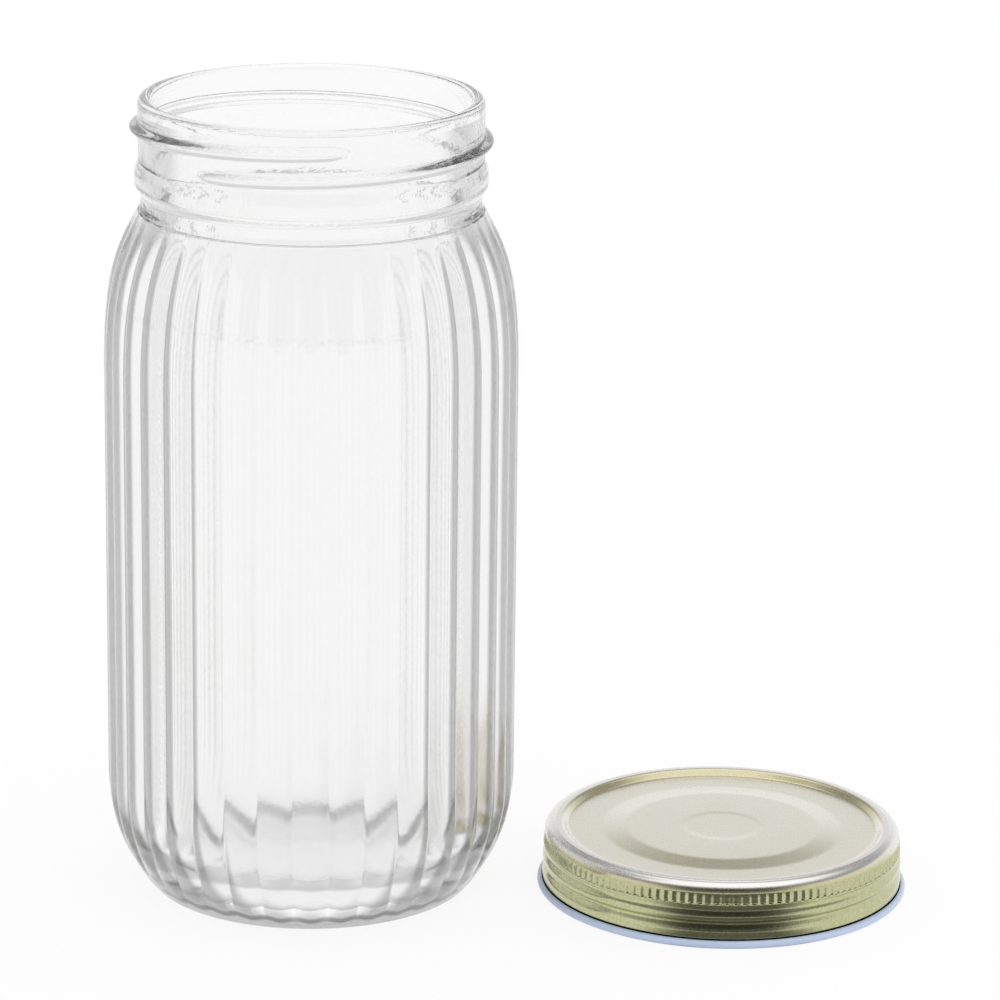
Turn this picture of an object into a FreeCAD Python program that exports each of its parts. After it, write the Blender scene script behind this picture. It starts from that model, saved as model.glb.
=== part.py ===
import FreeCAD, Part
import os
import re

import Sketcher

# A wide-mouth preserving jar of ribbed clear glass, with its one-piece metal screw cap
# lying top up beside it.  Millimetres, +Z up; the origin is on the jar's axis, in the
# plane that it stands on.

# ------------------------------------------------------------------ driving dimensions
# alias: (value, what it is)
SIZES = {
    # glass jar, outside
    "jar_height": (196.5, "standing plane to the top of the lip"),
    "body_radius": (50.0, "over the crests of the ribs"),
    "heel_height": (28.0, "where the heel's curve runs into the upright wall"),
    "heel_radius": (42.0, "of the heel's curve"),
    "foot_round": (2.0, "between the heel and the bearing ring"),
    "bearing_width": (2.2, "of the flat ring that the jar stands on"),
    "dome_rise": (3.0, "of the hollow under the base"),
    "shoulder_radius": (110.0, "of the shoulder's lower, slack curve"),
    "shoulder_rise": (18.0, "height of that slack curve"),
    "crown_radius": (42.0, "of the shoulder's upper, tight curve"),
    "root_inset": (0.55, "of the neck's foot from the finish wall above the collar"),
    "root_height": (3.2, "height of that stretch of neck"),
    "root_fillet": (1.2, "where the shoulder meets the neck"),
    # glass jar, ribs
    "rib_count": (36, "upright ribs round the jar"),
    "rib_round": (0.99392, "radius of a rib's flank, over that of one level at the crest"),
    "rib_crest": (1.2, "width of a crest that stays on the plain wall"),
    "valley_depth": (1.0, "of the sharp valleys between the ribs"),
    "heel_fade": (47.0, "radius along a valley as it runs out in the heel"),
    "crown_fade": (55.0, "radius along a valley as it runs out under the neck"),
    # glass jar, neck finish
    "collar_drop": (19.2, "from the lip down to the middle of the collar"),
    "collar_height": (3.8, "of the collar's upright face"),
    "collar_slope": (2.0, "height of the slopes above and below that face"),
    "collar_round": (0.8, "of the collar's edges"),
    "finish_radius": (41.35, "of the neck's wall below the lip"),
    "collar_stand": (0.9, "of the collar, by which the hot jar is carried, beyond that wall"),
    "thread_stand": (2.0, "of the screw thread beyond that wall"),
    "lip_wall": (3.2, "thickness of the neck at the lip"),
    # glass jar, inside
    "body_wall": (3.0, "from a rib's crest to the inside"),
    "base_thickness": (6.5, "standing plane to the inside floor"),
    "inner_heel": (20.0, "radius between the inside wall and the floor"),
    "throat_round": (3.0, "between the shoulder's inside and the bore"),
    # metal cap
    "cap_gap": (5.9, "between the jar and the cap lying at its side"),
    "cap_forward": (7.5, "of the cap's centre before the jar's"),
    "cap_height": (15.95, "standing plane to the rim's crest"),
    "cap_clearance": (0.35, "between the screw thread and the inside of the cap"),
    "cap_sheet": (0.25, "thickness of the lacquered steel"),
    "cap_shoulder": (2.6, "radius from the crest to the knurled band"),
    "crest_width": (1.9, "of the rim's nearly flat crest"),
    "bevel_width": (1.5, "of the slope inside the crest"),
    "rim_drop": (1.45, "from the crest down to the flat ring"),
    "panel_radius": (23.8, "of the raised middle panel"),
    "panel_slope": (5.7, "width of the slope round the panel"),
    "panel_rise": (0.5, "of the panel above the flat ring"),
    "waist_height": (9.5, "middle of the waist below the knurled band"),
    "waist_reach": (1.0, "half the height of the waist"),
    "waist_depth": (0.6, "of the waist"),
    "bead_stand": (0.3, "of the rolled bead in mid skirt beyond the band"),
    "groove_height": (5.6, "middle of the rolled thread's groove"),
    "groove_reach": (0.8, "half the height of that groove"),
    "groove_depth": (0.65, "of that groove"),
    "hem_height": (2.4, "lower end of the bead under the groove"),
    "hem_stand": (0.15, "of that bead beyond the band"),
    "curl_stand": (1.55, "of the curled bottom edge beyond the band"),
    "curl_round": (0.95, "of the curl's own section"),
    "curl_lip": (0.75, "height of the curl's free edge above its middle"),
    # sealing ring in the cap
    "seal_depth": (0.9, "of the compound under the crest"),
    "seal_inset": (0.1, "of the compound from the channel's inner wall"),
}

doc = FreeCAD.newDocument("preserving_jar")
sheet = doc.addObject("Spreadsheet::Sheet", "sizes")
for row, (alias, (value, meaning)) in enumerate(SIZES.items(), start=1):
    sheet.set(f"A{row}", alias)
    sheet.set(f"B{row}", str(value))
    sheet.set(f"C{row}", meaning)
    sheet.setAlias(f"B{row}", alias)
doc.recompute()


# ------------------------------------------------------------------------- small tools
def bound(words):
    """Turns words such as 'body_radius - body_wall' into an expression on the sheet."""
    return re.sub(r"\b(" + "|".join(SIZES) + r")\b", r"sizes.\1", words)


def number(words):
    """The present value of such words."""
    value = sheet.evalExpression(bound(words))
    return float(getattr(value, "Value", value))


def origin_plane(body, role):
    return next(item for item in body.Origin.OriginFeatures if item.Role == role)


def add_body(name):
    body = doc.addObject("PartDesign::Body", name)
    body.Label = name
    return body


def draw(body, name, plane, corners, closed=True):
    """Draws an outline, or with closed=False a path, on one of the body's own planes.

    Each corner is (across, up, bend), the first two in words.  bend is None for a straight
    side to the next corner; otherwise it is (radius in words, side), an arc with side +1
    where its centre lies to the left of the way along and -1 to the right.
    """
    sketch = body.newObject("Sketcher::SketchObject", name)
    sketch.AttachmentSupport = [(origin_plane(body, plane), "")]
    sketch.MapMode = "FlatFace"
    places = [FreeCAD.Vector(number(x), number(y), 0) for x, y, _ in corners]
    sides = len(corners) if closed else len(corners) - 1
    ends = []
    for index in range(sides):
        start = places[index]
        stop = places[(index + 1) % len(places)]
        bend = corners[index][2]
        if bend is None:
            sketch.addGeometry(Part.LineSegment(start, stop), False)
            ends.append((1, 2))
            continue
        radius = number(bend[0])
        chord = stop - start
        left = FreeCAD.Vector(-chord.y, chord.x, 0).normalize() * bend[1]
        reach = max(radius ** 2 - (chord.Length / 2) ** 2, 0.0) ** 0.5
        middle = (start + stop) * 0.5 + left * (reach - radius)
        sketch.addGeometry(Part.Arc(start, middle, stop), False)
        ends.append((1, 2) if bend[1] > 0 else (2, 1))
    for index in range(0 if closed else 1, sides):
        before = (index - 1) % sides
        meet = Sketcher.Constraint("Coincident", before, ends[before][1], index, ends[index][0])
        sketch.addConstraint(meet)
    for index, (x, y, bend) in enumerate(corners):
        side, end = (index, ends[index][0]) if index < sides else (sides - 1, ends[-1][1])
        for kind, value, words in (("DistanceX", places[index].x, x),
                                   ("DistanceY", places[index].y, y)):
            limit = sketch.addConstraint(Sketcher.Constraint(kind, -1, 1, side, end, value))
            sketch.setExpression(f"Constraints[{limit}]", bound(words))
        if bend is not None:
            limit = sketch.addConstraint(Sketcher.Constraint("Radius", index, number(bend[0])))
            sketch.setExpression(f"Constraints[{limit}]", bound(bend[0]))
    return sketch


def revolve(body, name, sketch):
    """Turns a sketch once about the body's upright axis, adding to the body."""
    turned = body.newObject("PartDesign::Revolution", name)
    turned.Profile = sketch
    turned.ReferenceAxis = (sketch, ["V_Axis"])
    turned.Angle = 360
    return turned


def ring_edges(shape, rings):
    """Names of the circular edges at the given (radius, height) pairs, in words."""
    wanted = [(number(r), number(z)) for r, z in rings]
    names = []
    for index, edge in enumerate(shape.Edges, start=1):
        if edge.Degenerated or not isinstance(edge.Curve, Part.Circle):
            continue
        curve = edge.Curve
        for radius, height in wanted:
            if abs(curve.Radius - radius) < 0.01 and abs(curve.Center.z - height) < 0.01:
                names.append(f"Edge{index}")
    return names


def fillet(body, name, base, rings, radius):
    """Rounds the circular edges of the base feature that lie at the given rings."""
    rounded = body.newObject("PartDesign::Fillet", name)
    rounded.Base = (base, ring_edges(base.Shape, rings))
    rounded.Radius = number(radius)
    rounded.setExpression("Radius", bound(radius))
    return rounded


def bow(half_chord, rise):
    """Radius, in words, of the arc with that half chord and that rise."""
    return f"((({half_chord})^2 + ({rise})^2) / (2 * ({rise})))"


# --------------------------------------------------------------------------- glass jar
# the heel's arc and the small foot arc touch where both point away from the heel's centre
FOOT_REACH = "sqrt((heel_radius - foot_round)^2 - (heel_height - foot_round)^2)"
HEEL_CENTRE = "body_radius - heel_radius"
FOOT_CENTRE = f"{HEEL_CENTRE} + {FOOT_REACH}"
FOOT_TOUCH = "heel_radius / (heel_radius - foot_round)"

ROOT = "(finish_radius - root_inset)"
COLLAR = "(finish_radius + collar_stand)"

# the shoulder's slack and tight arcs share a normal where they meet
SLACK_REACH = "sqrt(shoulder_radius^2 - shoulder_rise^2)"
CROWN_CENTRE = (f"(body_radius - shoulder_radius"
                f" + (1 - crown_radius / shoulder_radius) * {SLACK_REACH})")
CROWN_RISE = f"sqrt(crown_radius^2 - ({ROOT} - {CROWN_CENTRE})^2)"
COLLAR_FOOT = "jar_height - collar_drop - collar_height / 2"
COLLAR_HEAD = "jar_height - collar_drop + collar_height / 2"
ROOT_FOOT = f"{COLLAR_FOOT} - collar_slope - root_height"
CROWN_LEVEL = f"({ROOT_FOOT} - {CROWN_RISE})"
SHOULDER_TOP = f"({CROWN_LEVEL} + crown_radius * shoulder_rise / shoulder_radius)"
WALL_TOP = f"({SHOULDER_TOP} - shoulder_rise)"

BORE = "(finish_radius - lip_wall)"
THROAT = f"{CROWN_LEVEL} + sqrt((crown_radius - body_wall)^2 - ({BORE} - {CROWN_CENTRE})^2)"
INSIDE = "body_radius - body_wall"
INNER_SHARE = "(1 - body_wall / shoulder_radius)"


MIDDLE = f"((heel_height + {WALL_TOP}) / 2)"
VALLEY = "(body_radius - valley_depth)"
CREST_EDGE = "(body_radius * sin(180 deg / rib_count) - rib_crest / 2)"
CREST_REACH = f"sqrt(body_radius^2 - {CREST_EDGE}^2)"
# round between a valley and a crest
FLANK = (f"rib_round * (({CREST_REACH} - {VALLEY})^2 + {CREST_EDGE}^2)"
         f" / (2 * ({CREST_REACH} - {VALLEY}))")
VALLEY_SHARE = "(1 - valley_depth / shoulder_radius)"
VALLEY_HEAD = (f"(body_radius - shoulder_radius + {VALLEY_SHARE} * {SLACK_REACH})",
               f"({WALL_TOP} + {VALLEY_SHARE} * shoulder_rise)")
FADE_CENTRE = (f"({VALLEY_HEAD[0]} - crown_fade * {SLACK_REACH} / shoulder_radius)",
               f"({VALLEY_HEAD[1]} - crown_fade * shoulder_rise / shoulder_radius)")


def cut_valleys(body):
    """Cuts the sharp valleys that leave the wall standing in upright convex ribs.

    One cutter, whose two sides are the round flanks of neighbouring ribs, runs from mid
    wall up over the shoulder and down round the heel.  Its path is a little slacker than
    the wall's own curves, so that each valley runs out before the neck and the foot.
    """
    glass = body.Tip.Shape.Volume
    overrun = "body_radius + valley_depth"
    section = draw(body, "valley_section", "XY_Plane", [
        (VALLEY, "0", (FLANK, -1)),
        (CREST_REACH, f"-{CREST_EDGE}", None),
        (overrun, f"-{CREST_EDGE}", None),
        (overrun, CREST_EDGE, None),
        (CREST_REACH, CREST_EDGE, (FLANK, -1)),
    ])
    section.setExpression("AttachmentOffset.Base.z", bound(MIDDLE))
    foot = "bearing_width"
    upward = draw(body, "valley_rise", "XZ_Plane", [
        (VALLEY, MIDDLE, None),
        (VALLEY, WALL_TOP, ("shoulder_radius - valley_depth", 1)),
        (*VALLEY_HEAD, ("crown_fade", 1)),
        (f"{FADE_CENTRE[0]} + sqrt(crown_fade^2 - ({ROOT_FOOT} - {FADE_CENTRE[1]})^2)",
         ROOT_FOOT, None),
    ], closed=False)
    downward = draw(body, "valley_fall", "XZ_Plane", [
        (VALLEY, MIDDLE, None),
        (VALLEY, "heel_height", ("heel_fade", -1)),
        (f"{VALLEY} - heel_fade + sqrt(heel_fade^2 - (heel_height - {foot})^2)", foot, None),
    ], closed=False)
    doc.recompute()
    cuts = []
    for name, path in (("valley_above", upward), ("valley_below", downward)):
        cut = body.newObject("PartDesign::SubtractivePipe", name)
        cut.Profile = section
        cut.Spine = (path, [f"Edge{1 + index}" for index in range(len(path.Geometry))])
        cuts.append(cut)
        doc.recompute()
    ribs = body.newObject("PartDesign::PolarPattern", "jar_ribs")
    ribs.Originals = cuts
    ribs.Axis = (next(i for i in body.Origin.OriginFeatures if i.Role == "Z_Axis"), [""])
    ribs.Angle = 360
    ribs.Occurrences = int(number("rib_count"))
    ribs.setExpression("Occurrences", bound("rib_count"))
    body.Tip = ribs
    # a rib, not a valley, faces straight forward
    body.setExpression("Placement.Rotation.Angle", bound("180 deg / rib_count"))
    doc.recompute()
    print(f"valleys take {(glass - body.Shape.Volume) / 1000:.2f} cm3 of glass")


def make_jar():
    body = add_body("jar")
    bearing_inner = f"({FOOT_CENTRE} - bearing_width)"
    corners = [
        # underneath, from the middle of the hollow base to the bearing ring and the heel
        ("0", "dome_rise", (f"(({bearing_inner})^2 + dome_rise^2) / (2 * dome_rise)", -1)),
        (bearing_inner, "0", None),
        (FOOT_CENTRE, "0", ("foot_round", 1)),
        (f"{HEEL_CENTRE} + {FOOT_TOUCH} * {FOOT_REACH}",
         f"heel_height - {FOOT_TOUCH} * (heel_height - foot_round)", ("heel_radius", 1)),
        ("body_radius", "heel_height", None),
        # up the wall, over the shoulder and up the neck
        ("body_radius", WALL_TOP, ("shoulder_radius", 1)),
        (f"body_radius - shoulder_radius + {SLACK_REACH}", SHOULDER_TOP, ("crown_radius", 1)),
        (ROOT, ROOT_FOOT, None),
        (ROOT, f"{COLLAR_FOOT} - collar_slope", None),
        (COLLAR, COLLAR_FOOT, None),
        (COLLAR, COLLAR_HEAD, None),
        ("finish_radius", f"{COLLAR_HEAD} + collar_slope", None),
        # over the round lip and down the bore
        ("finish_radius", "jar_height - lip_wall / 2", ("lip_wall / 2", 1)),
        ("finish_radius - lip_wall / 2", "jar_height", ("lip_wall / 2", 1)),
        (BORE, "jar_height - lip_wall / 2", None),
        # the inside follows the outside one wall away
        (BORE, THROAT, ("crown_radius - body_wall", -1)),
        (f"body_radius - shoulder_radius + {INNER_SHARE} * {SLACK_REACH}",
         f"{WALL_TOP} + {INNER_SHARE} * shoulder_rise", ("shoulder_radius - body_wall", -1)),
        (INSIDE, WALL_TOP, None),
        (INSIDE, "base_thickness + inner_heel", ("inner_heel", -1)),
        (f"{INSIDE} - inner_heel", "base_thickness", None),
        ("0", "base_thickness", None),
    ]
    glass = revolve(body, "jar_glass", draw(body, "jar_outline", "XZ_Plane", corners))
    doc.recompute()
    collar_edges = [(COLLAR, COLLAR_FOOT), (COLLAR, COLLAR_HEAD),
                    ("finish_radius", f"{COLLAR_HEAD} + collar_slope"),
                    (ROOT, f"{COLLAR_FOOT} - collar_slope")]
    collar = fillet(body, "jar_collar_round", glass, collar_edges, "collar_round")
    doc.recompute()
    root = fillet(body, "jar_root_fillet", collar, [(ROOT, ROOT_FOOT)], "root_fillet")
    doc.recompute()
    fillet(body, "jar_throat_round", root, [(BORE, THROAT)], "throat_round")
    doc.recompute()
    cut_valleys(body)
    return body


# --------------------------------------------------------------------------- metal cap
BAND = "(finish_radius + thread_stand + cap_clearance + cap_sheet)"
CURL = f"({BAND} + curl_stand)"
CAP_ASIDE = f"body_radius + cap_gap + {CURL}"
CREST_OUTER = f"({BAND} - cap_shoulder)"
CREST_INNER = f"({CREST_OUTER} - crest_width)"
RING_LEVEL = "(cap_height - rim_drop)"
WAIST_FOOT = "(waist_height - waist_reach)"
GROOVE_HEAD = "(groove_height + groove_reach)"
GROOVE_FOOT = "(groove_height - groove_reach)"
CURL_CENTRE = f"({CURL} - curl_round)"
CURL_HOLLOW = "(curl_round - cap_sheet)"
CURL_BACK = "sqrt(curl_round^2 - curl_lip^2) / curl_round"


def place_by_cap(body):
    """Puts a body's own origin in the middle of the cap, in the standing plane."""
    body.setExpression("Placement.Base.x", bound(CAP_ASIDE))
    body.setExpression("Placement.Base.y", bound("-cap_forward"))


def lowest_face(shape):
    faces = range(len(shape.Faces))
    return f"Face{1 + min(faces, key=lambda index: shape.Faces[index].CenterOfMass.z)}"


def make_cap():
    body = add_body("lid")
    place_by_cap(body)
    hem = f"({CURL_CENTRE} - {CURL_HOLLOW})"
    corners = [
        # across the open bottom and up the skirt: hem bead, thread groove, bead, waist
        ("0", "curl_round", None),
        (hem, "curl_round", None),
        (hem, "hem_height", None),
        (BAND, "hem_height", (bow(f"({GROOVE_FOOT} - hem_height) / 2", "hem_stand"), 1)),
        (BAND, GROOVE_FOOT, (bow("groove_reach", "groove_depth"), -1)),
        (BAND, GROOVE_HEAD, (bow(f"({WAIST_FOOT} - {GROOVE_HEAD}) / 2", "bead_stand"), 1)),
        (BAND, WAIST_FOOT, (bow("waist_reach", "waist_depth"), -1)),
        (BAND, "waist_height + waist_reach", None),
        # round the shoulder and over the rim, the ring and the middle panel
        (BAND, "cap_height - cap_shoulder", ("cap_shoulder", 1)),
        (CREST_OUTER, "cap_height", None),
        (CREST_INNER, "cap_height", None),
        (f"{CREST_INNER} - bevel_width", RING_LEVEL, None),
        ("panel_radius + panel_slope", RING_LEVEL, None),
        ("panel_radius", f"{RING_LEVEL} + panel_rise", None),
        ("0", f"{RING_LEVEL} + panel_rise", None),
    ]
    blank = revolve(body, "cap_blank", draw(body, "cap_outline", "XZ_Plane", corners))
    doc.recompute()
    shell = body.newObject("PartDesign::Thickness", "cap_shell")
    shell.Base = (blank, [lowest_face(blank.Shape)])
    shell.Value = number("cap_sheet")
    shell.setExpression("Value", bound("cap_sheet"))
    shell.Reversed = True
    shell.Join = 1
    doc.recompute()
    # the edge is curled outwards and stops just short of the skirt
    curl = [
        (f"{CURL_CENTRE} - curl_round", "curl_round", ("curl_round", 1)),
        (CURL_CENTRE, "0", ("curl_round", 1)),
        (CURL, "curl_round", ("curl_round", 1)),
        (f"{CURL_CENTRE} - curl_round * {CURL_BACK}", "curl_round + curl_lip", None),
        (f"{CURL_CENTRE} - {CURL_HOLLOW} * {CURL_BACK}",
         f"curl_round + {CURL_HOLLOW} * curl_lip / curl_round", (CURL_HOLLOW, -1)),
        (f"{CURL_CENTRE} + {CURL_HOLLOW}", "curl_round", (CURL_HOLLOW, -1)),
        (CURL_CENTRE, "cap_sheet", (CURL_HOLLOW, -1)),
        (hem, "curl_round", None),
    ]
    revolve(body, "cap_curl", draw(body, "curl_outline", "XZ_Plane", curl))
    doc.recompute()
    return body


# ------------------------------------------------------- sealing ring, moulded in the cap
def make_seal():
    body = add_body("sealing_ring")
    place_by_cap(body)
    ceiling = "(cap_height - cap_sheet)"
    bend = "(cap_shoulder - cap_sheet)"
    bend_reach = f"sqrt({bend}^2 - ({bend} - seal_depth)^2)"
    inner = f"{CREST_INNER} + seal_inset"
    corners = [
        (inner, f"{ceiling} - seal_depth", None),
        (f"{CREST_OUTER} + {bend_reach}", f"{ceiling} - seal_depth", (bend, 1)),
        (CREST_OUTER, ceiling, None),
        (inner, ceiling, None),
    ]
    revolve(body, "seal_ring", draw(body, "seal_outline", "XZ_Plane", corners))
    doc.recompute()
    return body


# ------------------------------------------------------------------------------- write
pieces = [make_jar(), make_cap(), make_seal()]
doc.recompute()
for item in doc.Objects:
    if "Invalid" in item.State or "Error" in item.State:
        raise RuntimeError(f"{item.Name} could not be worked out: {item.State}")
for piece in pieces:
    if piece.Shape.isNull() or not piece.Shape.isValid() or len(piece.Shape.Solids) != 1:
        raise RuntimeError(f"{piece.Label} is not one sound solid")

os.makedirs("parts", exist_ok=True)
for piece in pieces:
    piece.Shape.exportStep(f"parts/{piece.Label}.step")
    box = piece.Shape.optimalBoundingBox()
    print(f"{piece.Label}: {piece.Shape.Volume / 1000:.1f} cm3,",
          f"x {box.XMin:.2f} {box.XMax:.2f} y {box.YMin:.2f} {box.YMax:.2f}",
          f"z {box.ZMin:.2f} {box.ZMax:.2f}, {len(piece.Shape.Faces)} faces")
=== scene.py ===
import bpy
import numpy as np
from mathutils import Matrix, Vector


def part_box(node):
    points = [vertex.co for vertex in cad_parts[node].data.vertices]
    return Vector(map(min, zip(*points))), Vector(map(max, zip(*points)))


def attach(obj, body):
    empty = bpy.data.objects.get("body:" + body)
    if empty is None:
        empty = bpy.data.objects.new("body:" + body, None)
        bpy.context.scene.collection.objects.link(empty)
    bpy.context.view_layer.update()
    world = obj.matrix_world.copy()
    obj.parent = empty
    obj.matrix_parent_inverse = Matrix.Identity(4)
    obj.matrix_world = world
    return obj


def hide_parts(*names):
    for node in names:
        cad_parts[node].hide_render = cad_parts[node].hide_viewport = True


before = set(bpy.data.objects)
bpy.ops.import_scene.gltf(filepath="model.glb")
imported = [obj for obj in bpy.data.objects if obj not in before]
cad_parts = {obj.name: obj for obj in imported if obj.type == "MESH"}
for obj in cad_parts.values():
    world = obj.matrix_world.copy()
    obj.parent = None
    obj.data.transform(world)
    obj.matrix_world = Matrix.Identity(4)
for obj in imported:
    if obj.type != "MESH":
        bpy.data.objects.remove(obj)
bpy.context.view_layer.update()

MM = 0.001
TOUCHING = 1e-6     # millimetres: two points nearer than this are one


# ------------------------------------------------------------------ arithmetic in shaders
class Signal:
    """A shader socket that joins in ordinary arithmetic by adding Math nodes."""

    def __init__(self, tree, socket):
        self.tree = tree
        self.socket = socket

    def reckon(self, operation, *terms, clamp=False):
        node = self.tree.nodes.new("ShaderNodeMath")
        node.operation = operation
        node.use_clamp = clamp
        for place, term in zip(node.inputs, terms):
            feed(self.tree, place, term)
        return Signal(self.tree, node.outputs[0])

    def __add__(self, other):
        return self.reckon("ADD", self, other)

    def __sub__(self, other):
        return self.reckon("SUBTRACT", self, other)

    def __rsub__(self, other):
        return self.reckon("SUBTRACT", other, self)

    def __mul__(self, other):
        return self.reckon("MULTIPLY", self, other)

    def __truediv__(self, other):
        return self.reckon("DIVIDE", self, other)

    def __rtruediv__(self, other):
        return self.reckon("DIVIDE", other, self)

    def __pow__(self, other):
        return self.reckon("POWER", self, other)

    __radd__ = __add__
    __rmul__ = __mul__

    def clamped(self):
        return self.reckon("ADD", self, 0.0, clamp=True)

    def between(self, low, high):
        """Rises smoothly from 0 at low to 1 at high (3 t squared less 2 t cubed)."""
        t = ((self - low) / (high - low)).clamped()
        return t * t * (3.0 - t * 2.0)


def feed(tree, place, value):
    """Links a signal to a socket, or sets a plain value on it."""
    if isinstance(value, Signal):
        tree.links.new(value.socket, place)
    elif value is not None:
        place.default_value = value


class Bench:
    """Where one node tree is put together."""

    def __init__(self, tree):
        self.tree = tree
        tree.nodes.clear()

    def add(self, kind, settings=None, inputs=None, out=0):
        """Adds a node: its settings are set first, then its sockets by name or number."""
        node = self.tree.nodes.new(kind)
        for name, value in (settings or {}).items():
            setattr(node, name, value)
        for name, value in (inputs or {}).items():
            feed(self.tree, node.inputs[name], value)
        return Signal(self.tree, node.outputs[out]) if node.outputs else node

    def place(self):
        """The point being shaded, in the object's own metres."""
        return self.add("ShaderNodeTexCoord", out="Object")

    def outputs(self, first, names):
        """Several outputs, by name or number, of the node that the first one comes from."""
        return [Signal(self.tree, first.socket.node.outputs[name]) for name in names]

    def axes(self, vector):
        """The x, y and z of a vector."""
        return self.outputs(self.add("ShaderNodeSeparateXYZ", inputs={"Vector": vector}), range(3))

    def rays(self):
        """What kind of ray arrives: 1 or 0 each for the eye's own, mirrored and bent rays."""
        return self.outputs(self.add("ShaderNodeLightPath"),
                            ("Is Camera Ray", "Is Glossy Ray", "Is Transmission Ray"))

    def noise(self, scale, detail=2.0, rough=0.5):
        """Noise with so many features to the metre, about 0.5 in the middle."""
        return self.add("ShaderNodeTexNoise", inputs={"Vector": self.place(), "Scale": scale,
                                                      "Detail": detail, "Roughness": rough})

    def facing(self):
        """0 where a face looks straight at the eye, 1 where it is seen edge on."""
        return self.add("ShaderNodeLayerWeight", inputs={"Blend": 0.5}, out="Facing")

    def blend(self, share, first, second):
        """Mixes two colours: first where share is 0, second where it is 1."""
        return self.add("ShaderNodeMix", {"data_type": "RGBA"},
                        {0: share, 6: first, 7: second}, out=2)

    def bumped(self, height, distance):
        """A normal tilted by a height of 0 to 1 that stands for so many metres."""
        return self.add("ShaderNodeBump", inputs={"Height": height, "Distance": distance})

    def finish(self, surface):
        self.add("ShaderNodeOutputMaterial", inputs={"Surface": surface})


def new_finish(name):
    material = bpy.data.materials.new(name)
    material.use_nodes = True
    return material, Bench(material.node_tree)


# ------------------------------------------------------------------------ turned surfaces
def arc(centre, height, radius, start, stop, steps):
    """Points on a circle: centre plus radius times cosine, height plus radius times sine."""
    turn = np.radians(np.linspace(start, stop, steps))
    return np.column_stack([centre + radius * np.cos(turn), height + radius * np.sin(turn)])


def run(first, last, steps):
    """Points in equal steps on the straight line from one place to another."""
    return np.linspace(first, last, steps)


def softened(corners, steps=5):
    """A line through corners (radius, height, round), each corner given a round of its own.

    The round is a quadratic curve: it starts and stops `round` from the corner along the
    two sides and has the corner as its middle control point.
    """
    points = np.array(corners, float)
    made = [points[:1, :2]]
    t = np.linspace(0.0, 1.0, steps)[:, None]
    for before, corner, after in zip(points[:-2], points[1:-1], points[2:]):
        sides = [(other - corner)[:2] for other in (before, after)]
        starts = [corner[:2] + side / np.linalg.norm(side) * corner[2] for side in sides]
        curve = (1 - t) ** 2 * starts[0] + 2 * t * (1 - t) * corner[:2] + t ** 2 * starts[1]
        made.append(curve)
    made.append(points[-1:, :2])
    return np.concatenate(made)


def eased(points, reach, step=0.25):
    """A profile with its changes of curvature eased: each point becomes the mean of its
    neighbours within `reach` along the line, twice over, with the ends left in place."""
    def walked(line, spacing):
        along = np.concatenate([[0], np.cumsum(np.linalg.norm(np.diff(line, axis=0), axis=1))])
        stops = np.linspace(0, along[-1], max(int(along[-1] / spacing), 2) + 1)
        return np.column_stack([np.interp(stops, along, line[:, axis]) for axis in range(2)])

    line = walked(points, step)
    half = int(reach / step)
    window = np.ones(2 * half + 1) / (2 * half + 1)
    for _ in range(2):
        before, after = 2 * line[0] - line[half:0:-1], 2 * line[-1] - line[-2:-half - 2:-1]
        ends = np.concatenate([before, line, after])
        line = np.column_stack([np.convolve(ends[:, axis], window, "valid") for axis in range(2)])
    return line


def joined(*runs):
    """Puts profiles end to end, without the points that repeat the one before."""
    points = np.concatenate(runs)
    step = np.linalg.norm(np.diff(points, axis=0), axis=1)
    return points[np.concatenate([[True], step > TOUCHING])]


def stitched(lower, upper):
    """Faces between two rings of points, with equal counts or one twice the other."""
    low_next, up_next = np.roll(lower, -1), np.roll(upper, -1)
    if len(lower) == len(upper):
        return [np.column_stack([lower, low_next, up_next, upper])]
    if len(lower) == 2 * len(upper):
        a, b, c = lower[::2], lower[1::2], low_next[1::2]
        return [np.column_stack([a, b, upper]), np.column_stack([b, up_next, upper]),
                np.column_stack([b, c, up_next])]
    if 2 * len(lower) == len(upper):
        a, b, c = upper[::2], upper[1::2], up_next[1::2]
        return [np.column_stack([lower, b, a]), np.column_stack([lower, low_next, b]),
                np.column_stack([low_next, c, b])]
    raise ValueError("rings do not match")


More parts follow.
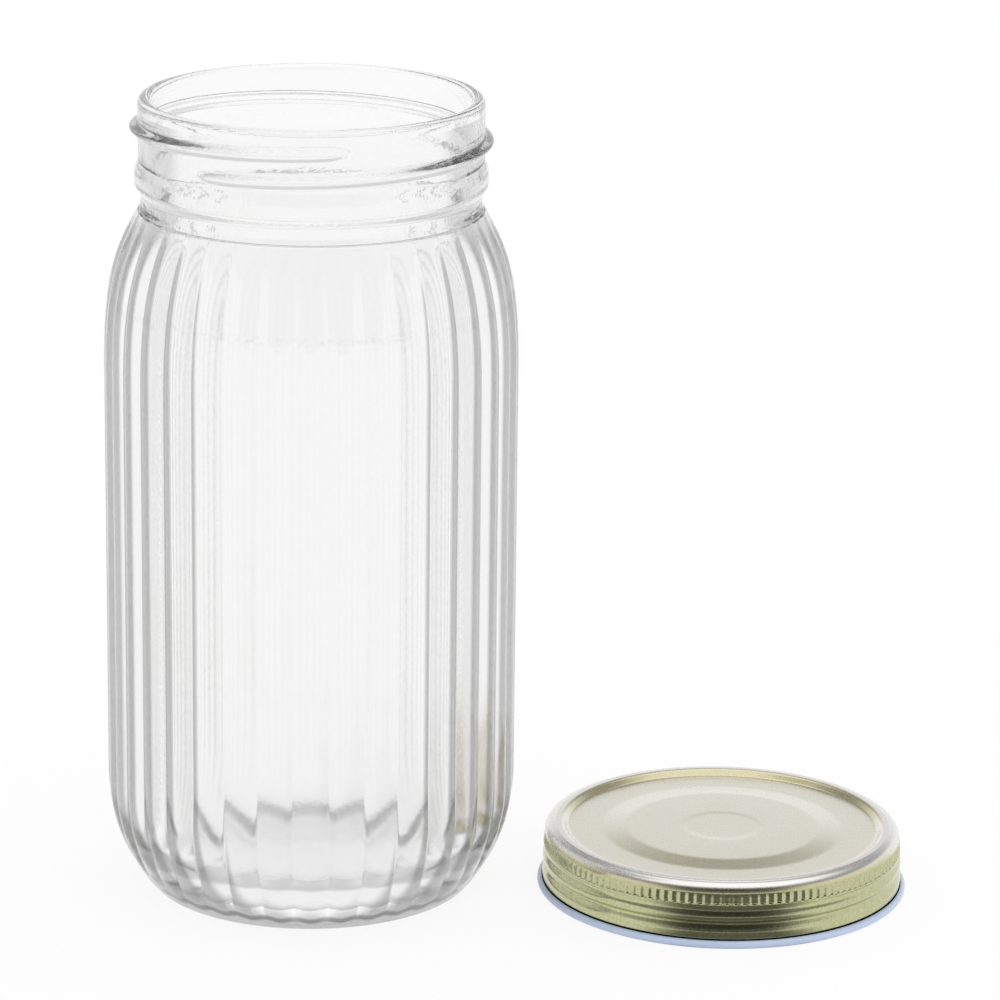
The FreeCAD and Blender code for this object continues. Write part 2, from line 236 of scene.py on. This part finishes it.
def turned(name, zones, mark, centre=(0.0, 0.0), close=False):
    """A surface of revolution in millimetres, made in metres.

    Each zone is (profile, angles, relief, marked): the profile's radius and height are
    carried round the angles, and relief(angle, radius, height) gives how far each point
    moves outward and upward.  A radius of 0 at either end is a single point at the pole;
    close joins the last ring to the first.  The attribute `mark` is 1 on marked zones.
    """
    places, rings, marks, count = [], [], [], 0
    for profile, angles, relief, marked in zones:
        radius = np.repeat(profile[:, :1], len(angles), axis=1)
        height = np.repeat(profile[:, 1:], len(angles), axis=1)
        angle = np.repeat(angles[None, :], len(profile), axis=0)
        if relief:
            outward, upward = relief(angle, radius, height)
            radius, height = radius + outward, height + upward
        grid = np.stack([centre[0] + radius * np.cos(angle), centre[1] + radius * np.sin(angle),
                         height], axis=-1)
        for row, ring in enumerate(grid):
            if profile[row, 0] < TOUCHING:
                ring = ring[:1]
            places.append(ring)
            rings.append(np.arange(count, count + len(ring)))
            marks.append(np.full(len(ring), marked, np.float32))
            count += len(ring)
    faces = []
    pairs = list(zip(rings[:-1], rings[1:]))
    if close:
        pairs.append((rings[-1], rings[0]))
    for lower, upper in pairs:
        if len(lower) == len(upper) == 1:
            continue
        if len(lower) == 1:
            faces.append(np.column_stack([np.full(len(upper), lower[0]), np.roll(upper, -1), upper]))
        elif len(upper) == 1:
            faces.append(np.column_stack([lower, np.roll(lower, -1), np.full(len(lower), upper[0])]))
        else:
            faces.extend(stitched(lower, upper))
    mesh = bpy.data.meshes.new(name)
    mesh.from_pydata(np.concatenate(places) * MM, [],
                     [face for group in faces for face in group.tolist()])
    mesh.polygons.foreach_set("use_smooth", np.ones(len(mesh.polygons), bool))
    mesh.attributes.new(mark, "FLOAT", "POINT").data.foreach_set("value", np.concatenate(marks))
    mesh.update()
    piece = bpy.data.objects.new(name, mesh)
    bpy.context.scene.collection.objects.link(piece)
    return piece


# ------------------------------------------------------------------------------ glass jar
# Sizes in millimetres.  The wall turns in above WALL_TOP in two arcs: the slow arc's radius
# is SLOW, and where it has turned by TAKEOVER degrees the quick one takes over.
RIBS = 36
RIB = 360 / RIBS
FRONT = -90.0
BODY, WALL, FLOOR = 50.0, 3.0, 6.5
HEEL, INNER_HEEL = 42.0, 20.0
HEEL_TOP = 28.0
BEARING, FOOT_ROUND = 38.4, 2.0
HOLLOW_RADIUS, HOLLOW_RISE = 36.2, 3.0
WALL_TOP, SLOW, QUICK, TAKEOVER = 134.0, 110.0, 42.0, 9.418
RIB_DEPTH, VALLEY_HEEL, VALLEY_QUICK = 1.0, 47.0, 55.0
NECK, NECK_FOOT, COLLAR, LIP_ROUND, TOP = 41.35, 182.0, 42.25, 1.6, 196.5
BORE, THROAT_ROUND, THROAT_HEIGHT = NECK - 2 * LIP_ROUND, 3.0, 169.69


def rib_angles(half_steps):
    """Angles round the jar, crowded towards the valleys: share of a half rib = t ** 1.6."""
    half = (np.arange(half_steps + 1) / half_steps) ** 1.6
    rib = np.concatenate([half, 2 - half[-2:0:-1]]) / 2
    turns = FRONT + RIB / 2 + RIB * (np.arange(RIBS)[:, None] + rib)
    return np.radians(turns.ravel())


def quick_centre(slow, quick):
    """Centre of the quick arc: on the line from the slow arc's centre at which that one
    stops, and nearer to it by the one radius less the other."""
    turn, apart = np.radians(TAKEOVER), slow - quick
    return BODY - SLOW + apart * np.cos(turn), WALL_TOP + apart * np.sin(turn)


def circle_at(centre, radius, rise):
    """How far out a circle is at a rise above its centre: centre plus the root of radius
    squared less rise squared."""
    return centre + np.sqrt(radius ** 2 - rise ** 2)


def valley_depth(height):
    """How deep the valleys are: the wall's own curve less a slacker one that leaves it.

    In the heel both are circles about the same height, and above the shoulder both are
    quick arcs, the valley's being the slacker.
    """
    fall = np.clip(HEEL_TOP - height, 0.0, HEEL_TOP - 0.1)
    heel = circle_at(BODY - HEEL, HEEL, fall) - circle_at(BODY - RIB_DEPTH - VALLEY_HEEL, VALLEY_HEEL, fall)
    high = np.clip(height, 151.9, 172.0)
    out, middle = quick_centre(SLOW, QUICK)
    valley_out, valley_middle = quick_centre(SLOW - RIB_DEPTH, VALLEY_QUICK)
    throat = circle_at(out, QUICK, high - middle) - circle_at(valley_out, VALLEY_QUICK, high - valley_middle)
    return np.where(height < 90.0, heel, throat).clip(0.0, RIB_DEPTH)


def ribs(angle, radius, height):
    """Each rib drops from its crest as the square of the way to the valley.

    The very bottom of a valley is round: the distance d from it is taken as the root of
    d squared plus a small square, and the factor gives back most of what that takes off.
    """
    phase = (np.degrees(angle) - FRONT) / RIB + 0.5
    away = 1 - np.abs(2 * (phase % 1.0) - 1)
    share = (1 - np.sqrt(away ** 2 + 0.045 ** 2)) ** 2
    return -1.06 * valley_depth(height) * share, 0.0 * height


# The thread: where it starts and stops in degrees round, its height at the front, its rise in
# a turn, the half width of its bead and how far it stands out.
THREAD_START, THREAD_STOP = -38.0, 370.7
THREAD_HEIGHT, PITCH, HALF_WIDTH, STAND = 184.6, 6.3, 1.75, 2.05


def thread(angle, radius, height):
    """A round bead on a helix: stand times a cosine across, with both ends tapered away."""
    outward = np.zeros_like(height)
    for lap in (0.0, 360.0):
        along = (np.degrees(angle) - FRONT + 180.0) % 360.0 - 180.0 + lap
        middle = THREAD_HEIGHT + PITCH * along / 360.0
        run_in = np.clip((along - THREAD_START) / 13.0, 0, 1)
        run_out = np.clip((THREAD_STOP - along) / 9.0, 0, 1)
        taper = np.clip(run_in * run_out * (2 - run_in * run_out), 0, 1) ** 0.5
        across = np.clip(np.abs(height - middle) / (HALF_WIDTH * (0.35 + 0.65 * taper)), 0, 1)
        bead = STAND * taper * (0.5 + 0.5 * np.cos(np.pi * across)) ** 0.62
        outward = np.maximum(outward, bead)
    return outward, 0.0 * height


def shoulder_line(inset, stop, lead=16.0):
    """The upright wall's last stretch, the slow arc and the quick arc up to `stop` degrees,
    all `inset` inside the outer face."""
    foot = (BODY - inset, WALL_TOP - lead)
    out, middle = quick_centre(SLOW, QUICK)
    return joined(run(foot, (BODY - inset, WALL_TOP), 60),
                  arc(BODY - SLOW, WALL_TOP, SLOW - inset, 0.0, TAKEOVER, 80),
                  arc(out, middle, QUICK - inset, TAKEOVER, stop, 90))


def glass_jar():
    """The jar, turned in one closed surface from the middle underneath, up the outside,
    over the lip and down the inside to the middle of the floor."""
    fine = rib_angles(8)
    plain = fine[::2]
    bowl = (HOLLOW_RADIUS ** 2 + HOLLOW_RISE ** 2) / (2 * HOLLOW_RISE)
    bowl_edge = np.degrees(np.arccos(HOLLOW_RADIUS / bowl))
    under = joined(arc(0.0, HOLLOW_RISE - bowl, bowl, 90.0, bowl_edge, 9),
                   run((HOLLOW_RADIUS, 0.0), (BEARING, 0.0), 3))
    outside = joined(arc(BEARING, FOOT_ROUND, FOOT_ROUND, -90, -42, 5),
                     arc(BODY - HEEL, HEEL_TOP, HEEL, -40.0, 0.0, 20),
                     run((BODY, HEEL_TOP), (BODY, 118.0), 7),
                     eased(shoulder_line(0.0, 35.6), 5.0)[::5])
    collar = joined(softened([(41.23, 169.58, 0), (40.8, 170.3, 0.9), (40.8, 173.4, 0.8),
                              (COLLAR, 175.4, 0.8), (COLLAR, 179.2, 0.8), (NECK, 181.2, 0.8),
                              (NECK, NECK_FOOT, 0)], 6))
    screw = run((NECK, NECK_FOOT), (NECK, 193.6), 44)
    round_height = TOP - LIP_ROUND
    lip = joined(run((NECK, 193.9), (NECK, round_height), 2),
                 arc(NECK - LIP_ROUND, round_height, LIP_ROUND, 0, 180, 15))
    bore = joined(run((BORE, round_height), (BORE, THROAT_HEIGHT), 14),
                  arc(BORE + THROAT_ROUND, THROAT_HEIGHT, THROAT_ROUND, 180, 212, 6))
    inner_shoulder = eased(shoulder_line(WALL, 35.8)[::-1], 7.0)[::5]
    inner_wall = run((BODY - WALL, 117.0), (BODY - WALL, FLOOR + INNER_HEEL), 6)
    inner_heel = arc(BODY - WALL - INNER_HEEL, FLOOR + INNER_HEEL, INNER_HEEL, 0.0, -90.0, 20)
    floor = run((BODY - WALL - INNER_HEEL, FLOOR), (0.0, FLOOR), 7)
    inside = joined(lip, bore, inner_shoulder, inner_wall, inner_heel, floor)
    return turned("jar_glass", [
        (under[:-1], plain, None, False),
        (outside, fine, ribs, True),
        (collar[:-1], plain, None, True),
        (screw, plain, thread, True),
        (inside, plain, None, False)], "skin")


def clear_glass():
    """Pressed clear glass: near smooth, with a faint orange peel and a settle mark.

    On the outside, where light first enters, its colour is greyed as painted shade: where
    it turns from the eye, standing for the dark bands that the ribs' sides bend in, along a
    wavy line at the foot and in dots on the settle mark.  Inside and low down it is a
    little rougher.  All heights are in metres.
    """
    material, bench = new_finish("clear_glass")
    skin = bench.add("ShaderNodeAttribute", {"attribute_name": "skin"}, out="Fac")
    peel = bench.noise(800.0, 1.0)
    x, y, z = bench.axes(bench.place())
    settle = z.between(0.1465, 0.148) * (1.0 - z.between(0.148, 0.1505))
    neck = z.between(0.164, 0.171)
    turn = y.reckon("ARCTAN2", y, x)
    # Painted shade: a dark wavy line at the foot, standing for the dark line that the heel bends in.
    wavy = z + turn.reckon("COSINE", turn * float(RIBS)) * 0.0004
    foot = wavy.between(0.0022, 0.0032) * (1.0 - wavy.between(0.0036, 0.0048))
    away = bench.facing()
    # Painted shade: the outer glass greys by how far it turns from the eye, standing for the dark bands that
    # the ribs bend in.
    rib_band_painted_shade = (1.0 - neck * 0.5) * (away.between(0.33, 0.47) * 0.46 - away.between(0.62, 0.90) * 0.20)
    # Painted shade: grey dots along the settle mark.
    settle_painted_shade = settle * (peel - 0.45).clamped()
    entering = skin * (1.0 - bench.add("ShaderNodeNewGeometry", out="Backfacing"))
    clear = 0.985 - entering * (rib_band_painted_shade + foot * 0.30 + settle_painted_shade * 0.35)
    low = 1.0 - z.between(0.006, 0.100)
    shader = bench.add("ShaderNodeBsdfPrincipled", inputs={
        "Base Color": bench.blend(clear * clear, (0, 0, 0, 1), (1, 1, 1, 1)),
        "Roughness": 0.02 + (1.0 - skin) * (1.0 - neck) * (0.12 + low * 0.02) + skin * neck * 0.08,
        "IOR": 1.52, "Transmission Weight": 1.0,
        "Normal": bench.bumped(peel * (1.0 + neck * 1.5 + settle * 3.0), 0.00001)})
    bench.finish(shader)
    return material


# ------------------------------------------------------------------------------ screw cap
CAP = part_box("lid")
CAP_CENTRE = tuple((CAP[0][axis] + CAP[1][axis]) / 2 / MM for axis in range(2))
KNURLS = 134
SHEET = 0.25                                          # millimetres of steel
CURL_OUT, CURL_HEIGHT, CURL_ROUND = 44.55, 0.95, 0.95     # centre and radius of the curled edge
CURL_END = 103                                        # degrees: where the curl meets the skirt
BAND_FOOT, BAND_TOP = (44.0, 10.6), (43.78, 13.4)     # radius and height of the knurled band
TOP_ROUND = 2.4


def knurls(angle, radius, height):
    """Upright flutes round the band: a cosine round the cap, strongest below mid band.

    Each flute ends at its foot in a small round dimple pushed in from outside.
    """
    phase = (np.degrees(angle) * KNURLS / 360.0) % 1.0
    ridge = 0.5 + 0.5 * np.cos(2 * np.pi * phase)
    rise = np.clip((height - 10.7) / 0.5, 0, 1) * np.clip((14.3 - height) / 1.6, 0, 1)
    flute = -0.30 * rise * (1 - ridge) ** 0.8
    across = (np.minimum(phase, 1 - phase) - 0.5) * 2 * np.pi * radius / KNURLS
    spot = np.exp(-((across / 0.42) ** 2 + ((height - 10.85) / 0.32) ** 2))
    return flute - 0.22 * spot, 0.0 * height


def rolled_thread(angle, radius, height):
    """The groove rolled in mid skirt wanders up and down a little as it goes round."""
    swing = 0.35 * np.sin(angle - np.radians(200.0)) * np.exp(-((height - 5.6) / 1.6) ** 2)
    return 0.0 * height, swing


def screw_cap():
    """The cap, turned in one closed surface: up the outside from its curled edge, over the
    crest to the middle, and back inside to the curl's inner face."""
    fine = np.radians(np.arange(0, KNURLS * 8) * 360.0 / (KNURLS * 8))
    middle, plain = fine[::2], fine[::4]
    skirt = softened([(43.86, 0.9, 0), (43.9, 1.8, 0.15), (44.25, 2.2, 0.25), (44.32, 4.0, 0.8),
                      (43.32, 5.6, 0.5), (44.2, 6.7, 0.5), (44.24, 7.9, 0.6), (43.36, 9.3, 0.7),
                      (43.95, 10.35, 0.25), (*BAND_FOOT, 0)], 7)
    shoulder = arc(BAND_TOP[0] - TOP_ROUND, BAND_TOP[1], TOP_ROUND, 4, 80, 9)
    crest = softened([(41.4, 15.84, 0), (41.2, 15.93, 0.15), (39.75, 15.95, 0.25), (39.2, 15.72, 0.2),
                      (38.1, 14.6, 0.35), (37.2, 14.5, 0.4), (29.6, 14.5, 0.8), (23.7, 15.03, 0.8),
                      (10.3, 15.03, 0.8), (8.6, 14.97, 0.8), (0.0, 14.97, 0)], 6)
    inside = softened([(0.0, 14.72, 0), (8.8, 14.72, 0.2), (23.2, 14.78, 0.3), (24.0, 14.77, 0.6),
                       (29.6, 14.25, 0.5), (37.3, 14.25, 0.4), (38.3, 14.4, 0.3), (39.6, 15.68, 0.3),
                       (41.2, 15.68, 0.5), (43.25, 13.2, 1.2), (43.3, 10.4, 0.3), (43.1, 9.3, 0.4),
                       (43.95, 7.8, 0.5), (43.05, 5.6, 0.5), (43.86, 4.2, 0.6), (43.85, 2.6, 0.4),
                       (43.6, 1.7, 0.3), (43.6, 0.97, 0)], 5)
    curl = arc(CURL_OUT, CURL_HEIGHT, CURL_ROUND - SHEET, CURL_END, -172, 19)
    curl_inside = arc(CURL_OUT, CURL_HEIGHT, CURL_ROUND, -180, CURL_END, 26)
    return turned("lid_shell", [
        (joined(curl, skirt), plain, rolled_thread, False),
        (run((44.0, 10.62), (44.0, 10.63), 2), middle, None, False),
        (run(BAND_FOOT, BAND_TOP, 16), fine, knurls, False),
        (run((43.775, 13.45), (43.77, 13.5), 2), middle, None, False),
        (joined(shoulder[1:], crest), plain, None, False),
        (joined(inside, curl_inside), plain, rolled_thread, True)], "lining", CAP_CENTRE, close=True)


def gold_lacquer():
    """Gold-tinted clear lacquer over tinplate, with a fine grain and a pale lining paint.

    The top pales where it is seen at a slant, a painted sheen, and on its rim, a painted
    highlight; its gold is lighter than the skirt's, partly painted light; the skirt is
    cloudy, and the crevice above the curl is painted dark as shade.  Radii and heights are
    in metres.
    """
    material, bench = new_finish("gold_lacquer")
    grain = bench.noise(1900.0, 2.0, 0.6)
    cloud = bench.noise(45.0, 2.0)
    x, y, z = bench.axes(bench.place())
    x, y = x - CAP_CENTRE[0] * MM, y - CAP_CENTRE[1] * MM
    high = z.between(0.0136, 0.0143)
    # Painted highlight: the crest's rim is near white.
    rim_painted_highlight = ((x * x + y * y) ** 0.5).between(0.0395, 0.0402) * z.between(0.0142, 0.0152)
    # Painted shade: the crevice above the curl is dark.
    crevice_painted_shade = 1.0 - z.between(0.0012, 0.0018)
    lining = bench.add("ShaderNodeAttribute", {"attribute_name": "lining"}, out="Fac").between(0.4, 0.6)
    skirt_tone = bench.blend(cloud, (0.37, 0.39, 0.145, 1), (0.45, 0.46, 0.19, 1))
    # Painted sheen: the top's gold pales to near white where it is seen at a slant.
    slant_painted_sheen = bench.facing().between(0.50, 0.72)
    top_tone = bench.blend(slant_painted_sheen, (0.60, 0.54, 0.30, 1), (0.83, 0.81, 0.74, 1))
    top_tone = bench.blend(rim_painted_highlight, top_tone, (0.82, 0.80, 0.79, 1))
    # Partly painted light: the top gets a lighter gold than the skirt, though both are one lacquer.
    tone = bench.blend(high, skirt_tone, top_tone)
    tone = bench.blend((grain - 0.5) * 0.9 + 0.25, tone, (0.80, 0.78, 0.68, 1))
    tone = bench.blend(crevice_painted_shade, tone, (0.12, 0.12, 0.09, 1))
    paint = bench.blend(cloud, (0.50, 0.60, 0.80, 1), (0.57, 0.66, 0.84, 1))
    shader = bench.add("ShaderNodeBsdfPrincipled", inputs={
        "Base Color": bench.blend(lining, tone, paint),
        "Metallic": 1.0 - lining,
        "Roughness": 0.12 + high * 0.10 + grain * 0.09 + lining * 0.15,
        "Coat Weight": 0.35, "Coat Roughness": 0.12, "Coat IOR": 1.5,
        "Normal": bench.bumped(grain, 0.00001)})
    bench.finish(shader)
    return material


def sealing_compound():
    """Off-white sealing compound with a faint mottle."""
    material, bench = new_finish("sealing_compound")
    mottle = bench.noise(300.0, 3.0)
    shader = bench.add("ShaderNodeBsdfPrincipled", inputs={
        "Base Color": bench.blend(mottle, (0.74, 0.72, 0.66, 1), (0.82, 0.80, 0.75, 1)),
        "Roughness": 0.45 + mottle * 0.15,
        "Normal": bench.bumped(mottle, 0.00004)})
    bench.finish(shader)
    return material


# ---------------------------------------------------------------------------- the pieces
def dress(piece, material, node):
    """Gives a piece its finish and lets it stand for its node."""
    piece.data.materials.append(material)
    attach(piece, "root")
    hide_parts(node)


dress(glass_jar(), clear_glass(), "jar")
dress(screw_cap(), gold_lacquer(), "lid")
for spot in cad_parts["sealing_ring"].material_slots:
    spot.material = sealing_compound()


# -------------------------------------------------------------------- floor, light, camera
FLOOR_REACH = 4.0     # metres from the middle to each side
FLOOR_DROP = 0.00005  # metres below the feet, so that the faces don't fight
GLOW = 0.88           # the share of white that the floor shows by itself


def lay_floor():
    """A wide pale floor that shows mostly as plain white and takes shadow with the rest.

    Mirrored rays see a dark sector before the cap, and bent rays a slightly dimmer floor
    at both sides of the jar, as in a white tent that is open at the front.
    """
    mesh = bpy.data.meshes.new("floor")
    corners = [(-1, -1), (1, -1), (1, 1), (-1, 1)]
    mesh.from_pydata([(x * FLOOR_REACH, y * FLOOR_REACH, -FLOOR_DROP) for x, y in corners],
                     [], [(0, 1, 2, 3)])
    floor = bpy.data.objects.new("floor", mesh)
    bpy.context.scene.collection.objects.link(floor)
    material, bench = new_finish("pale_floor")
    eye, mirrored, bent = bench.rays()
    x, y, z = bench.axes(bench.place())
    out = (x * x + y * y) ** 0.5
    sides = (1.0 - (y / out).between(0.50, 0.88)) * out.between(0.06, 0.13)
    x, y = x - CAP_CENTRE[0] * MM, y - CAP_CENTRE[1] * MM
    out = (x * x + y * y) ** 0.5
    front = (0.0 - y / out).between(0.80, 0.97) * (1.0 - out.between(0.12, 0.20))
    dark = mirrored * (1.0 - bent) * front * 0.85 + bent * sides * 0.06
    matt = bench.add("ShaderNodeBsdfDiffuse", inputs={"Color": (1.0, 1.0, 1.0, 1)})
    glow = bench.add("ShaderNodeEmission", inputs={
        "Color": bench.blend(dark, (1, 1, 1, 1), (0, 0, 0, 1)), "Strength": 1.0})
    straight = (eye + mirrored + bent).clamped()
    bench.finish(bench.add("ShaderNodeMixShader", inputs={
        0: straight * GLOW + dark * (1.0 - GLOW), 1: matt, 2: glow}))
    material.cycles.emission_sampling = "NONE"
    mesh.materials.append(material)


def hang_sky():
    """Even white light.

    Mirrored rays see more in it: a white band round the horizon, a dimmer band above it, a
    bright top and a dark patch low at the front.  Bent rays see the same, much fainter, and
    a slight dimming at both sides.
    """
    world = bpy.data.worlds.new("studio")
    world.use_nodes = True
    bpy.context.scene.world = world
    world.cycles.sampling_method = "NONE"
    bench = Bench(world.node_tree)
    way = bench.add("ShaderNodeTexCoord", out="Generated")
    x, y, rise = bench.axes(way)
    front = bench.add("ShaderNodeVectorMath", {"operation": "DOT_PRODUCT"},
                      {0: way, 1: (0.0, -0.95, 0.31)}, out="Value")
    eye, mirrored, bent = bench.rays()
    bands = rise.between(0.34, 0.52) * 0.65 - rise.between(0.70, 0.86) * 0.9
    patch = front.between(0.60, 0.92) * 0.88
    sides = (1.0 - y.between(0.50, 0.88)) * 0.06
    shown = (1.0 - bands * (1.0 - bent * 0.8)) * (1.0 - patch * (1.0 - bent * 0.85)) * (1.0 - sides * bent)
    shaped = (mirrored + bent).clamped() * (1.0 - eye)
    sky = bench.add("ShaderNodeBackground", inputs={
        "Color": (1, 1, 1, 1), "Strength": shown * shaped + (1.0 - shaped)})
    bench.add("ShaderNodeOutputWorld", inputs={"Surface": sky})


CAMERA_PLACE = (0.00407, -1.15005, 0.43258)     # metres
CAMERA_TURN = (2.08, 16.28, 0.67)               # degrees to the right, down and clockwise
SENSOR, LENS = 36.0, 177.27                     # millimetres


def stand_camera():
    """The camera: place, yaw, pitch and roll, with a long lens."""
    yaw, pitch, roll = np.radians(CAMERA_TURN)
    ahead = Vector((np.sin(yaw) * np.cos(pitch), np.cos(yaw) * np.cos(pitch), -np.sin(pitch)))
    level = Vector((np.cos(yaw), -np.sin(yaw), 0.0))
    top = level.cross(ahead)
    right = level * np.cos(roll) + top * np.sin(roll)
    up = top * np.cos(roll) - level * np.sin(roll)
    data = bpy.data.cameras.new("camera")
    data.sensor_width = SENSOR
    data.lens = LENS
    data.clip_start = 0.05
    camera = bpy.data.objects.new("camera", data)
    turn = Matrix((right, up, -ahead)).transposed().to_4x4()
    camera.matrix_world = Matrix.Translation(CAMERA_PLACE) @ turn
    bpy.context.scene.collection.objects.link(camera)
    bpy.context.scene.camera = camera


lay_floor()
hang_sky()
stand_camera()
scene = bpy.context.scene
scene.view_settings.view_transform = "Standard"
scene.cycles.glossy_bounces = 16
scene.cycles.transmission_bounces = 16
scene.cycles.max_bounces = 24
